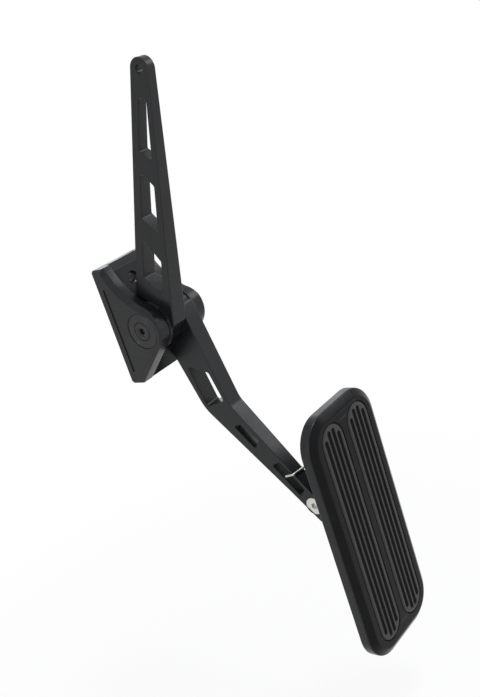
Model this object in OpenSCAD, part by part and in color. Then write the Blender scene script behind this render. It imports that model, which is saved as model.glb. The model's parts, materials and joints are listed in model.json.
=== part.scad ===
// Firewall hung throttle pedal: billet bracket, two arms side by side on one pivot and a tilting ribbed pad.
// Millimetres. Origin at the centre of the bracket's mounting face.
// +Z is up, +Y goes forward into the firewall, +X is to the driver's right.

/* [Bracket] */
// Width across both cheeks
bracket_w = 44.45; // [42:0.05:48]
// Height of the mounting face
bracket_h = 77.8; // [76:0.1:90]
// Thickness of each cheek
cheek_t = 8.9; // [8:0.1:10]
// Thickness of the web between the cheeks
web_t = 10; // [8:0.5:10]
// Depth of the full width base of each cheek
base_t = 9; // [6:0.5:10]
// Pivot axis to mounting face
pivot_out = 26.3; // [26.3:0.1:32]
// Pivot axis below the centre of the mounting face
pivot_drop = 3.6; // [2:0.2:6]
// Radius of the boss round the pivot
boss_r = 15.2; // [15:0.1:16]
// Spacing of the two mounting holes
hole_gap = 50.8; // [48:0.2:54]
// Bore of the mounting holes
hole_d = 6.6; // [5:0.1:8]
// Width of the shallow groove along each side
groove_w = 1.2; // [0.8:0.1:2]

/* [Pivot] */
// Diameter of the pivot shaft
shaft_d = 12.7; // [10:0.1:13]
// Outer diameter of the hub bush
bush_d = 15.9; // [14.5:0.1:17]
// Running clearance between shaft and bush, on the radius
shaft_play = 0.05; // [0.02:0.01:0.1]
// Diameter of the round cap let into each cheek
cap_d = 23.2; // [18:0.1:24]
// Diameter of the screw heads
head_d = 12.4; // [10:0.1:12.6]
// Diameter of the pivot screws
screw_d = 6.35; // [5:0.05:7]
// Diameter of the thrust washers
washer_d = 31.8; // [24:0.1:32]
// Thickness of the thrust washers
washer_t = 1.125; // [0.8:0.005:1.4]

/* [Arms] */
// How much thinner the upper arm is at its tip than at the hub
tip_thin = 6.3; // [3:0.1:6.4]
// How much thinner the lower arm is at the pad than at the hub
toe_thin = 2.9; // [1:0.1:3]
// Bore of the cable eye
eye_d = 5; // [4:0.1:6.4]
// Corner radius of the windows
window_r = 1.6; // [0.8:0.1:2]
// Diameter of the two dowels that join the arms
dowel_d = 3; // [2:0.1:3]

/* [Pad] */
// Width of the pad
pad_w = 71.1; // [62:0.1:80]
// Length of the pad
pad_l = 171.45; // [162:0.05:190]
// Thickness of the pad
pad_t = 9.5; // [9:0.1:12]
// Height of the square edge of the pad
pad_edge = 6.35; // [5:0.05:7]
// Width of the sloped border
pad_bevel = 5; // [3:0.1:5]
// Corner radius of the pad
pad_r = 20.5; // [12:0.5:22]
// Width of each ribbed insert
insert_w = 23.6; // [20:0.1:25]
// Length of each ribbed insert
insert_l = 155; // [140:0.5:155]
// Spacing of the ribs
rib_gap = 4.5; // [3.8:0.1:4.8]
// Thickness of the pad lug
lug_t = 9; // [7:0.1:10]
// Wire of the pad spring
wire_d = 1.6; // [1.2:0.1:1.8]

/* [Hidden] */
$fn = 96;
gap = 0.3;
fit = 0.02;
loose = 0.05;
clear = 0.1;
steps = 6;

// Widths across the stack, from the left cheek's outer face; the arms fill what the washers leave,
// and their joint stands a little right of the centre
left_x = -bracket_w / 2;
right_in = bracket_w / 2 - cheek_t;
arm_t = bracket_w / 2 - cheek_t - washer_t - gap;
tip_t = arm_t - tip_thin;
toe_t = arm_t - toe_thin;
joint_off = 0.15;
washer_left_t = washer_t + joint_off;
washer_right_t = washer_t - joint_off;
upper_x = left_x + cheek_t + gap + washer_left_t;
lower_x = upper_x + arm_t;
arms_end = lower_x + arm_t;

// Bracket in the side view, the pivot at the origin
top_z = bracket_h / 2 + pivot_drop;
low_z = top_z - bracket_h;
corner = 1.5;
slope = 4.2;
base_top = [pivot_out - base_t, top_z];
saddle_r = 50;
saddle_out = boss_r + saddle_r;
saddle_run = (saddle_out * saddle_out - saddle_r * saddle_r + base_top * base_top) / (2 * norm(base_top));
saddle_rise = sqrt(saddle_out * saddle_out - saddle_run * saddle_run);
saddle = saddle_run * base_top / norm(base_top)
    + saddle_rise * [-base_top[1], base_top[0]] / norm(base_top);
saddle_n = 12;
saddle_from = atan2(base_top[1] - saddle[1], base_top[0] - saddle[0]);
saddle_short = 3;
saddle_to = atan2(-saddle[1], -saddle[0]) + saddle_short;
boss_in = 0.995;
boss_top = boss_in * boss_r * unit(saddle);
nose_lean = 44;
boss_low = boss_in * boss_r * [-sin(nose_lean), -cos(nose_lean)];
low_out = boss_low[0] + (boss_low[1] - low_z) / tan(nose_lean);
groove_deep = 0.6;
groove_in = 5.6;
groove_top = 29.6;
groove_low = -27.3;

// Pivot
cap_t = 3;
cap_sink = 0.3;
seat_t = 0.8;
head_t = 2.4;
socket_d = 4.6;
socket_t = 1.6;
shaft_l = bracket_w - 2 * cap_sink - 2 * cap_t;
bolt_l = 13;
bolt_spare = 1.5;
washer_play = 0.35;

// Arms in the side view
hub_r = 13.4;
lower_hub_r = 15.2;
eye = [-57, 146.4];
tip_r = 6.6;
front_lean = 17.6;
back_lean = 23.8;
taper_low = 10;
knee_z = -62;
toe = [-69.8, -134];
toe_land = 8;
dowel_ring = (bush_d / 2 + hub_r) / 2;
dowel_in = arm_t * 2 / 3;
hub_front = [[-17, -3.5], [2, -hub_r]];
hub_front_r = [9, 0.5];
upper_windows = [
    [[-50, 132.8], [-54.9, 130], [-44.4, 97.7], [-36.9, 104.5]],
    [[-32.5, 93.4], [-39.7, 83.7], [-30.2, 55.5], [-21.3, 67.3]],
    [[-16.4, 54.8], [-25.2, 39.4], [-17.4, 17.5], [-6, 30.9]]];
lower_windows = [
    [[-3.5, -34.2], [-20, -39.6], [-24.8, -59.6], [-9, -63.8]],
    [[-25.4, -77.6], [-31.9, -76.4], [-42.2, -88.2], [-38, -94.6]],
    [[-46.4, -105.3], [-54.6, -103], [-66.6, -122.6], [-62, -127.8]]];
lower_line = [[3, 4], [-14, 9], [-17.6, -2], [-28.4, -62.3], [-80.9, -138.9], [-71.8, -145.8],
    [-6.2, -65.4], [8.2, -13]];
lower_line_r = [1, 4, 5, 14, 1.5, 1.5, 25, 0.5];

// Pad pivot
head_sink = 0.1;
toe_head_d = 11.6;
pad_screw_d = 6;
cone_t = 2.8;
sleeve_d = 9;
coil_l = 4;
coil_r = 6;
toe_face = lower_x + (arm_t - toe_t) / 2;
lug_x = toe_face + toe_t + coil_l;
coil_x = toe_face + toe_t + 1.1;
lug_washer_t = 0.8;
lug_washer_d = 14;
nut_x = lug_x + lug_t + gap + lug_washer_t;
nut_t = 5;
nut_r = 5.8;

// Pad, measured from the pad pivot
pad_gap = 18.3;
pad_up = 64.2;
pad_right = 0.35;
pad_x = lug_x + lug_t / 2 + pad_right;
pad_mid_z = pad_up - pad_l / 2;
insert_side = insert_w / 2 + 2.4;
insert_up = 1;
insert_proud = 0.4;
insert_sink = 2;
insert_r = insert_w / 2;
rib_n = 5;
rib_cut = 2.2;
rib_deep = 1.2;
rib_rim = 2;

// Lug and its stop
lug_r = 8;
lug_half = 12;
foot_t = 5;
foot_w = 16;
foot_l = 50;
lug_bolt_z = 19.4;
lug_bolt_d = 5;
lug_bolt_in = 5.5;
lug_head_t = 3;
lug_head_d = 8.4;
lug_socket_d = 3.4;
stop_x = toe_face + 3;
stop_line = [[-pad_gap, -9], [foot_t - pad_gap, -9.4], [-4.2, -10.6], [-1.6, -12.6], [-3, -14.6],
    [-pad_gap, -14.6]];

// Spring
hook = [-64.4, -111];
hook_x = toe_face + toe_t + 1.6;
hook_thin = toe_thin / 2 * (knee_z - hook[1]) / (knee_z - toe[1] - toe_land);
grip_x = lower_x + hook_thin - wire_d / 2 - gap - 2 * clear;
hook_turn = 100;
pad_turn = 170;
ball_r = wire_d * 0.6;
pad_end = toe + [foot_t - pad_gap + ball_r + gap, 16];

mount_bracket();
cap_left();
cap_right();
pivot_screws();
pivot_shaft();
washer_left();
washer_right();
hub_bush();
upper_arm();
lower_arm();
arm_dowels();
pad_plate();
insert_left();
insert_right();
pad_lug();
lug_screws();
pad_pivot_screw();
pad_pivot_sleeve();
lug_washer();
pad_pivot_nut();
pad_spring();

// Unit vector
function unit(v) = v / norm(v);

// Points of the arc that rounds corner b between a and c
function arc_at(a, b, c, r) =
    let (
        u = unit(a - b),
        w = unit(c - b),
        half = acos(u * w) / 2,
        o = b + unit(u + w) * r / sin(half),
        s = b + u * r / tan(half) - o,
        e = b + w * r / tan(half) - o,
        turn = sign(s[0] * e[1] - s[1] * e[0]) * (180 - 2 * half)
    )
    [for (i = [0:steps]) o + [s[0] * cos(turn * i / steps) - s[1] * sin(turn * i / steps),
        s[0] * sin(turn * i / steps) + s[1] * cos(turn * i / steps)]];

// Outline with every corner rounded by its own radius
function rounded(p, r) =
    let (n = len(p))
    [for (i = [0:n - 1]) each arc_at(p[(i + n - 1) % n], p[i], p[(i + 1) % n], r[i])];

// Same radius for every corner
function even(p, r) = rounded(p, [for (i = p) r]);

// Flat shape in the side view, drawn round the pivot and t thick to the right of x
module side(x, t)
{
    translate([x, -pivot_out, -pivot_drop])
        rotate([90, 0, 90])
            linear_extrude(t)
                children();
}

// Round bar along X at a point of the side view
module bar_at(p, x, t, r)
{
    translate([x, p[0] - pivot_out, p[1] - pivot_drop])
        rotate([0, 90, 0])
            cylinder(h = t, r = r);
}

// Flat shape on the pad, measured from the pad's centre, t thick from height z
module on_pad(z, t)
{
    translate([pad_x, toe[0] - pad_gap - pivot_out, toe[1] + pad_mid_z - pivot_drop])
        rotate([90, 0, 0])
            translate([0, 0, z])
                linear_extrude(t)
                    children();
}

// Flat bar with round ends
module stadium(w, l)
{
    square([w, l - w], center = true);
    for (s = [-1, 1]) translate([0, s * (l - w) / 2]) circle(r = w / 2);
}

// Bracket: two cheeks and a web, cut from one block
module mount_bracket()
{
    color([0.1, 0.1, 0.11])
    difference() {
        union() {
            side(left_x, cheek_t) cheek();
            side(left_x, bracket_w) web();
            side(right_in, cheek_t) cheek();
        }
        bar_at([0, 0], left_x - 1, bracket_w + 2, shaft_d / 2 + fit);
        bar_at([0, 0], left_x - 1, 1 + cap_sink + cap_t, cap_d / 2 + loose);
        bar_at([0, 0], -left_x - cap_sink - cap_t, 1 + cap_sink + cap_t, cap_d / 2 + loose);
        for (s = [-1, 1])
            translate([0, 1, s * hole_gap / 2])
                rotate([90, 0, 0])
                    cylinder(h = web_t + 2, r = hole_d / 2);
        for (x = [left_x - 1, -left_x - groove_deep])
            side(x, 1 + groove_deep)
                translate([pivot_out - groove_in, (groove_top + groove_low) / 2])
                    stadium(groove_w, groove_top - groove_low);
    }
}

// Cheek outline: base, boss and the hollow curve between them
module cheek()
{
    circle(r = boss_r);
    polygon([[0, 0], boss_low, [low_out, low_z], [pivot_out - corner, low_z],
        [pivot_out, low_z + corner], [pivot_out, top_z - corner], [pivot_out - corner, top_z],
        each [for (i = [0:saddle_n]) saddle + saddle_r * [cos(saddle_at(i)), sin(saddle_at(i))]], boss_top]);
}

// Angle of point i along the hollow curve, from the base to the boss
function saddle_at(i) = saddle_from + (saddle_to - saddle_from) * i / saddle_n;

// Web outline, its top front edge sloped off
module web()
{
    polygon([[pivot_out - web_t, low_z], [pivot_out - corner, low_z], [pivot_out, low_z + corner],
        [pivot_out, top_z - corner], [pivot_out - corner, top_z], [pivot_out - web_t + slope, top_z],
        [pivot_out - web_t, top_z - slope]]);
}

// Caps let into the cheeks
module cap_left()
{
    color([0.07, 0.07, 0.08]) cap();
}

module cap_right()
{
    color([0.07, 0.07, 0.08]) mirror([1, 0, 0]) cap();
}

module cap()
{
    difference() {
        bar_at([0, 0], left_x + cap_sink, cap_t, cap_d / 2);
        bar_at([0, 0], left_x, bracket_w / 2, screw_d / 2 + clear);
        bar_at([0, 0], left_x, cap_sink + cap_t - seat_t, head_d / 2 + clear);
    }
}

// Screws that hold the caps and the shaft
module pivot_screws()
{
    color([0.12, 0.12, 0.13])
    for (m = [0, 1]) mirror([m, 0, 0]) pivot_screw();
}

module pivot_screw()
{
    difference() {
        union() {
            bar_at([0, 0], left_x + cap_sink + cap_t - seat_t - head_t, head_t, head_d / 2);
            bar_at([0, 0], left_x + cap_sink + cap_t - seat_t - 1, bolt_l, screw_d / 2);
        }
        hex_at([0, 0], left_x + cap_sink + cap_t - seat_t - head_t);
    }
}

// Hexagon socket opening at x
module hex_at(p, x)
{
    translate([x - 1, p[0] - pivot_out, p[1] - pivot_drop])
        rotate([0, 90, 0])
            cylinder(h = 1 + socket_t, r = socket_d / 2, $fn = 6);
}

// Fixed shaft across the bracket
module pivot_shaft()
{
    color([0.6, 0.6, 0.62])
    difference() {
        bar_at([0, 0], -shaft_l / 2, shaft_l, shaft_d / 2);
        for (m = [0, 1])
            mirror([m, 0, 0]) bar_at([0, 0], -shaft_l / 2 - 1, bolt_l + bolt_spare, screw_d / 2 + fit);
    }
}

// Thrust washers that turn with the arms
module washer_left()
{
    color([0.35, 0.35, 0.36]) thrust_washer(upper_x - washer_left_t, washer_left_t);
}

module washer_right()
{
    color([0.35, 0.35, 0.36]) thrust_washer(arms_end, washer_right_t);
}

module thrust_washer(x, t)
{
    difference() {
        bar_at([0, 0], x, t, washer_d / 2);
        bar_at([0, 0], x - 1, t + 2, shaft_d / 2 + washer_play);
    }
}

// Bush pressed through both arms
module hub_bush()
{
    color([0.6, 0.48, 0.28])
    difference() {
        bar_at([0, 0], upper_x, 2 * arm_t, bush_d / 2);
        bar_at([0, 0], upper_x - 1, 2 * arm_t + 2, shaft_d / 2 + shaft_play);
    }
}

// Upper arm with the cable eye at its tip
module upper_arm()
{
    color([0.13, 0.13, 0.14])
    difference() {
        intersection() {
            side(upper_x, arm_t) upper_outline();
            taper(upper_x + arm_t / 2, taper_low, tip_t, eye[1] + tip_r + 1);
        }
        side(upper_x - 1, arm_t + 2)
            for (w = upper_windows) polygon(even(w, window_r));
        bar_at(eye, upper_x - 1, arm_t + 2, eye_d / 2);
        hub_holes(upper_x - 1, upper_x + arm_t - dowel_in);
    }
}

module upper_outline()
{
    circle(r = hub_r);
    translate(eye) circle(r = tip_r);
    polygon(rounded([eye, eye + tip_r * [-cos(front_lean), -sin(front_lean)], each hub_front,
        hub_r * [cos(back_lean), sin(back_lean)], eye + tip_r * [cos(back_lean), sin(back_lean)]],
        [0.1, 0.1, each hub_front_r, 0.5, 0.1]));
}

// Thickness in front view: full at the hub, thinner from z0 to t at z1, then the same to the end
module taper(x, z0, t, z1)
{
    way = sign(z1 - z0);
    back = z0 - way * (abs(z0) + 2 * lower_hub_r);
    ahead = z1 + way * 2 * lower_hub_r;
    translate([x, 2 * lower_hub_r - pivot_out, -pivot_drop])
        rotate([90, 0, 0])
            linear_extrude(4 * lower_hub_r - toe[0])
                polygon([[-arm_t / 2, back], [-arm_t / 2, z0], [-t / 2, z1], [-t / 2, ahead],
                    [t / 2, ahead], [t / 2, z1], [arm_t / 2, z0], [arm_t / 2, back]]);
}

// Bush bore right through, dowel holes from the joint face to x
module hub_holes(x, dowel_x)
{
    bar_at([0, 0], x, arm_t + 2, bush_d / 2 + fit);
    for (s = [-1, 1]) bar_at([s * dowel_ring, 0], dowel_x, dowel_in + 0.5, dowel_d / 2 + fit);
}

// Lower arm with the pad pivot at its toe
module lower_arm()
{
    color([0.13, 0.13, 0.14])
    difference() {
        intersection() {
            side(lower_x, arm_t) lower_outline();
            taper(lower_x + arm_t / 2, knee_z, toe_t, toe[1] + toe_land);
        }
        side(lower_x - 1, arm_t + 2)
            for (w = lower_windows) polygon(even(w, window_r));
        bar_at(toe, lower_x - 1, arm_t + 2, pad_screw_d / 2 + loose);
        head_cone(fit);
        hub_holes(lower_x - 1, lower_x - 0.5);
    }
}

module lower_outline()
{
    circle(r = lower_hub_r);
    polygon(rounded(lower_line, lower_line_r));
}

// Dowels across the joint of the two arms
module arm_dowels()
{
    color([0.6, 0.6, 0.62])
    for (s = [-1, 1]) bar_at([s * dowel_ring, 0], lower_x - dowel_in, 2 * dowel_in, dowel_d / 2);
}

// Pad: square edge, sloped border and two pockets for the inserts
module pad_plate()
{
    color([0.08, 0.08, 0.08])
    difference() {
        union() {
            on_pad(0, pad_edge) pad_outline();
            pad_crown();
        }
        for (s = [-1, 1])
            on_pad(pad_t - insert_sink, insert_sink + 1)
                translate([s * insert_side, insert_up]) stadium(insert_w + 2 * fit, insert_l + 2 * fit);
        for (s = [-1, 1])
            lug_bolt_at(s) cylinder(h = lug_bolt_in + 2 * clear, r = lug_bolt_d / 2 + fit);
    }
}

module pad_outline()
{
    square([pad_w - 2 * pad_r, pad_l], center = true);
    square([pad_w, pad_l - 2 * pad_r], center = true);
    for (i = [-1, 1], j = [-1, 1])
        translate([i * (pad_w / 2 - pad_r), j * (pad_l / 2 - pad_r)]) circle(r = pad_r);
}

// Sloped border: straight wedges with a cone at each corner
module pad_crown()
{
    rise = pad_t - pad_edge;
    translate([pad_x, toe[0] - pad_gap - pad_edge - pivot_out, toe[1] + pad_mid_z - pivot_drop])
        rotate([90, 0, 0]) {
            for (i = [-1, 1], j = [-1, 1])
                translate([i * (pad_w / 2 - pad_r), j * (pad_l / 2 - pad_r), 0])
                    cylinder(h = rise, r1 = pad_r, r2 = pad_r - pad_bevel);
            translate([0, pad_l / 2 - pad_r, 0])
                rotate([90, 0, 0])
                    linear_extrude(pad_l - 2 * pad_r) wedge(pad_w, rise);
            translate([pad_r - pad_w / 2, 0, 0])
                rotate([90, 0, 90])
                    linear_extrude(pad_w - 2 * pad_r) wedge(pad_l, rise);
        }
}

module wedge(w, h)
{
    polygon([[-w / 2, 0], [w / 2, 0], [w / 2 - pad_bevel, h], [pad_bevel - w / 2, h]]);
}

// Ribbed inserts in their pockets
module insert_left()
{
    color([0.12, 0.12, 0.12]) ribbed(-1);
}

module insert_right()
{
    color([0.12, 0.12, 0.12]) ribbed(1);
}

module ribbed(s)
{
    difference() {
        on_pad(pad_t - insert_sink, insert_sink + insert_proud)
            translate([s * insert_side, insert_up]) stadium(insert_w, insert_l);
        for (k = [0:rib_n - 2])
            on_pad(pad_t + insert_proud - rib_deep, rib_deep + 1)
                translate([s * insert_side + rib_off(k), insert_up])
                    stadium(rib_cut, insert_l - 2 * insert_r + 2 * rib_reach(k));
    }
}

// Groove k's distance from the insert's centre line, and how far it reaches into the round end
function rib_off(k) = (k - (rib_n - 2) / 2) * rib_gap;
function rib_reach(k) = sqrt(pow(insert_r - rib_rim, 2) - pow(rib_off(k), 2));

// Lug on the back of the pad, with the stop that meets the toe of the arm
module pad_lug()
{
    color([0.1, 0.1, 0.11])
    difference() {
        union() {
            side(lug_x, lug_t) translate(toe) {
                circle(r = lug_r);
                polygon([[foot_t - pad_gap, -lug_half], [foot_t - pad_gap, lug_half], [0, lug_r],
                    [0, -lug_r]]);
            }
            side(pad_x - foot_w / 2, foot_w) translate(toe)
                translate([-pad_gap, -foot_l / 2]) square([foot_t, foot_l]);
            side(stop_x, pad_x - stop_x) translate(toe) polygon(stop_line);
        }
        bar_at(toe, lug_x - 1, lug_t + 2, sleeve_d / 2 + shaft_play);
        for (s = [-1, 1]) lug_bolt_at(s) translate([0, 0, -foot_t - 1])
            cylinder(h = foot_t + 2, r = lug_bolt_d / 2 + clear);
    }
}

// Axis of lug screw s, from the pad's back into the pad
module lug_bolt_at(s)
{
    translate([pad_x, toe[0] - pad_gap - pivot_out, toe[1] - pivot_drop + s * lug_bolt_z])
        rotate([90, 0, 0])
            children();
}

module lug_screws()
{
    color([0.14, 0.14, 0.15])
    for (s = [-1, 1]) lug_bolt_at(s) difference() {
        union() {
            translate([0, 0, -foot_t - 0.5]) cylinder(h = lug_bolt_in + foot_t + 0.5, r = lug_bolt_d / 2);
            translate([0, 0, -foot_t - lug_head_t]) cylinder(h = lug_head_t, r = lug_head_d / 2);
        }
        translate([0, 0, -foot_t - lug_head_t - 1])
            cylinder(h = 1 + socket_t, r = lug_socket_d / 2, $fn = 6);
    }
}

// Pad pivot: countersunk screw, sleeve, washer and nut
module pad_pivot_screw()
{
    color([0.75, 0.75, 0.73])
    difference() {
        union() {
            head_cone(0);
            bar_at(toe, toe_face + 1, nut_x + nut_t - toe_face - 0.5, pad_screw_d / 2);
        }
        hex_at(toe, toe_face + head_sink);
    }
}

// Countersunk head, opened out by more on the radius
module head_cone(more)
{
    translate([toe_face + head_sink, toe[0] - pivot_out, toe[1] - pivot_drop])
        rotate([0, 90, 0])
            cylinder(h = cone_t, r1 = toe_head_d / 2 + more, r2 = pad_screw_d / 2 + more);
    if (more > 0) bar_at(toe, lower_x - 1, toe_face + head_sink + 1.01 - lower_x, toe_head_d / 2 + more);
}

module pad_pivot_sleeve()
{
    color([0.6, 0.6, 0.62])
    difference() {
        bar_at(toe, toe_face + toe_t, coil_l + lug_t + gap, sleeve_d / 2);
        bar_at(toe, toe_face, nut_x - toe_face, pad_screw_d / 2 + loose);
    }
}

module lug_washer()
{
    color([0.6, 0.6, 0.62])
    difference() {
        bar_at(toe, lug_x + lug_t + gap, lug_washer_t, lug_washer_d / 2);
        bar_at(toe, lug_x, lug_t + 2, pad_screw_d / 2 + loose);
    }
}

module pad_pivot_nut()
{
    color([0.6, 0.6, 0.62])
    difference() {
        translate([nut_x, toe[0] - pivot_out, toe[1] - pivot_drop])
            rotate([0, 90, 0])
                cylinder(h = nut_t, r = nut_r, $fn = 6);
        bar_at(toe, lug_x, nut_x + nut_t + 1 - lug_x, pad_screw_d / 2 + fit);
    }
}

// Wire spring: coil round the sleeve, one end hooked over the arm, the other against the pad
module pad_spring()
{
    color([0.62, 0.62, 0.6]) {
        difference() {
            bar_at(toe, coil_x - wire_d / 2 - clear, 2 * (wire_d + clear), coil_r + wire_d / 2);
            bar_at(toe, coil_x - wire_d, 4 * wire_d, coil_r - wire_d / 2);
        }
        wire([coil_x, coil_at(hook_turn)], [hook_x, hook]);
        wire([hook_x, hook], [grip_x, hook + [1.4, 0.6]]);
        wire([grip_x, hook + [1.4, 0.6]], [grip_x, hook + [8.2, -1.2]]);
        wire([coil_x + wire_d, coil_at(pad_turn)], [coil_x + wire_d, pad_end]);
    }
}

// Point of the coil's centre line at an angle in the side view
function coil_at(a) = toe + coil_r * [cos(a), sin(a)];

// Straight wire between two points, each [x, [y, z]], with a ball at its far end
module wire(a, b)
{
    p = [a[0], a[1][0] - pivot_out, a[1][1] - pivot_drop];
    q = [b[0], b[1][0] - pivot_out, b[1][1] - pivot_drop];
    d = q - p;
    translate(q) sphere(r = ball_r, $fn = 32);
    translate(p)
        rotate([0, acos(d[2] / norm(d)), atan2(d[1], d[0])])
            cylinder(h = norm(d), r = wire_d / 2, $fn = 32);
}
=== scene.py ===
"""Throttle pedal in black anodised aluminium: bracket, two pierced arms and a ribbed pad.

Sizes are millimetres. Bracket, pivot and arms are drawn in the side view, with the pivot axis at
the origin, and the pad in its own view. side() and on_pad() put them into the frame in metres.
"""
import json
from math import acos, atan2, ceil, cos, degrees, hypot, pi, radians, sin, tan

import bmesh
import bpy
from mathutils import Matrix, Vector

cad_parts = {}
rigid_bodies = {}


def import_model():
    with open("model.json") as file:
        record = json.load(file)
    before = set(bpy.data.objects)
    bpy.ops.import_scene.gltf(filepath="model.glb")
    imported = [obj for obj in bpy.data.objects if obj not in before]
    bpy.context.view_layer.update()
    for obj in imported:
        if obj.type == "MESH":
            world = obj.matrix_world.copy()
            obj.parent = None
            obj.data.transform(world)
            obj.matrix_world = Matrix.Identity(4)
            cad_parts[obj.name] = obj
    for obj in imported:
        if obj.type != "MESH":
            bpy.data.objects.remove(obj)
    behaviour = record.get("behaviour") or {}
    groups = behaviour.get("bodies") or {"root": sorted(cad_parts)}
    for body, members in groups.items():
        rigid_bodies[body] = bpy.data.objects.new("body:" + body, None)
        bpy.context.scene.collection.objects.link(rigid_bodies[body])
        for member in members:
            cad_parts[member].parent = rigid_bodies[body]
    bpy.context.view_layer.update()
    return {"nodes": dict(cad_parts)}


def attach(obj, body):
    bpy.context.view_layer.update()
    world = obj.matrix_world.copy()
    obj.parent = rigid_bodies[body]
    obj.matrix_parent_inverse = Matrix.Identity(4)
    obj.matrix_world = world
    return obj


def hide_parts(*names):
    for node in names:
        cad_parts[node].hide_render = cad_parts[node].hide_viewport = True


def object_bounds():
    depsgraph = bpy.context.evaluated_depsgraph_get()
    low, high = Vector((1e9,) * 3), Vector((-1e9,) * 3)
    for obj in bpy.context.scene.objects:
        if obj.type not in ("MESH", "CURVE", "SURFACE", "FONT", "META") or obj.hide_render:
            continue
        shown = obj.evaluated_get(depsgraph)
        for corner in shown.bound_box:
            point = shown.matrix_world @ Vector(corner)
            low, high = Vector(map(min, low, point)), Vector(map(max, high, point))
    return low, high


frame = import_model()
nodes = frame["nodes"]

for extra in [o for o in bpy.data.objects if o.name in ("Cube", "Light", "Camera")]:
    bpy.data.objects.remove(extra, do_unlink=True)

MM = 0.001
FIT = 0.02  # keeps faces that would coincide apart
SUPPORT = 0.25  # flat loop beside an edge, which keeps its shading tight
EDGE_STEPS = 3
HUB_STEP = 4.0
HUB_CLEAR = 1.0005  # a point this many radii out counts as outside the hub
CUT_PAST = 1.0  # how far a cutting tool runs past the face it enters

# Bracket
BRACKET_W = 44.45
BRACKET_SHARP = 24.0  # edges that turn by more degrees than this stay sharp
CHEEK_T = 8.9
WEB_T = 10.0
WEB_LAP = 1.5
WEB_R = [0.4, 0.4, 0.4, 0.4, 0.4, 0.5, 0.5]
BASE_T = 9.0
PIVOT_OUT = 26.3
PIVOT_DROP = 3.6
BOSS_R = 15.2
TOP_Z = 42.5
LOW_Z = -35.3
CORNER = 1.5
SLOPE = 4.2
SADDLE_R = 50.0
SADDLE_STEP = 2.0
NOSE_LEAN = 42.6
HOLE_GAP = 50.8
HOLE_D = 6.6
HOLE_CHAMFER = 0.9
GROOVE_W = 1.7
GROOVE_DEEP = 1.0
GROOVE_INSET = 5.6
GROOVE_TOP = 29.6
GROOVE_LOW = -27.3
GROOVE_FLANK = 0.25
GROOVE_RISE = 0.3

# Sloped border of a cheek's outer face: its width, and its depth for each unit of width
SADDLE_BAND, SADDLE_FALL = 2.9, 1.1
BOSS_BAND, BOSS_FALL = 1.3, 0.9
NOSE_BAND, NOSE_FALL = 2.2, 0.3
BASE_BANDS = [0.5, 0.3, 0.3, 0.5]
BASE_FALL = 0.6
BAND_GROWS = [1.2, 2.2]
BRINK = 0.05
BREAK = 0.35
BREAK_ARC = 0.3  # share of the break at its middle ring, which bows it

# Pivot
SHAFT_D = 12.7
CAP_D = 23.2
CAP_T = 3.0
CAP_SINK = 0.3
CAP_FIT = 0.15
CAP_EDGE = 0.35
CAP_MOUTH = [(0, 0.3), (-0.08, 0.1), (-0.3, 0), (-0.3 - SUPPORT, 0)]
SEAT_T = 0.8
SEAT_EDGE = 0.25
HEAD_D = 12.4
HEAD_T = 2.4
HEAD_FIT = 0.12
HEAD_FOOT = 0.3
HEAD_CROWN = [(0, 0.75), (0.15, 0.4), (0.5, 0.15), (1.0, 0.02), (1.4, 0)]
SOCKET_D = 4.6
SOCKET_T = 1.6
SOCKET_RIM = [(0, 0), (0.35, 0.18)]
SOCKET_RIM_W = 0.75
SOCKET_MOUTH = 0.4
SOCKET_END = (1.2, 0.3)
SCREW_D = 6.35
SCREW_FIT = 0.1
BOLT_L = 12.0
BOLT_TIP = 0.6
BOLT_LAP = 0.2
BUSH_D = 15.9

# Arms
ARM_T = 11.9
ARM_EDGE = 0.45
UPPER_X = -11.75
LOWER_X = 0.15
TIP_T = 5.6
TOE_T = 9.0
HUB_R = 13.4
LOWER_HUB_R = 15.2
EYE = (-57.0, 146.4)
EYE_D = 5.0
TIP_R = 6.6
TIP_PAST = 1.0  # the taper ends this far above the tip
FRONT_LEAN = 17.6
BACK_LEAN = 23.8
TAPER_LOW = 10.0
KNEE_Z = -62.0
TOE = (-69.8, -134.0)
TOE_LAND = 8.0
WINDOW_R = 1.6
WINDOW_EDGE = 0.3
UPPER_FOOT = [(-17, -3.5), (-4, -10)]
UPPER_FOOT_R = [9, 0]
UPPER_WINDOWS = [
    [(-50, 132.8), (-54.9, 130), (-44.4, 97.7), (-36.9, 104.5)],
    [(-32.5, 93.4), (-39.7, 83.7), (-30.2, 55.5), (-21.3, 67.3)],
    [(-16.4, 54.8), (-25.2, 39.4), (-17.4, 17.5), (-6, 30.9)],
]
LOWER_WINDOWS = [
    [(-3.5, -34.2), (-20, -39.6), (-24.8, -59.6), (-9, -63.8)],
    [(-25.4, -77.6), (-31.9, -76.4), (-42.2, -88.2), (-38, -94.6)],
    [(-46.4, -105.3), (-54.6, -103), (-66.6, -122.6), (-62, -127.8)],
]
LOWER_LINE = [(3, 4), (-14, 9), (-17.6, -2), (-28.4, -62.3), (-80.9, -138.9), (-71.8, -145.8),
              (-6.2, -65.4), (8.2, -13)]
LOWER_LINE_R = [1, 4, 5, 14, 1.5, 1.5, 25, 0.5]

# Toe screw
PAD_SCREW_D = 6.0
TOE_HEAD_D = 11.6
TOE_HEAD_FIT = 0.06
TOE_NECK_FIT = 0.05
TOE_MOUTH = 0.15
CONE_FROM = 0.1
CONE_T = 2.8

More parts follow.
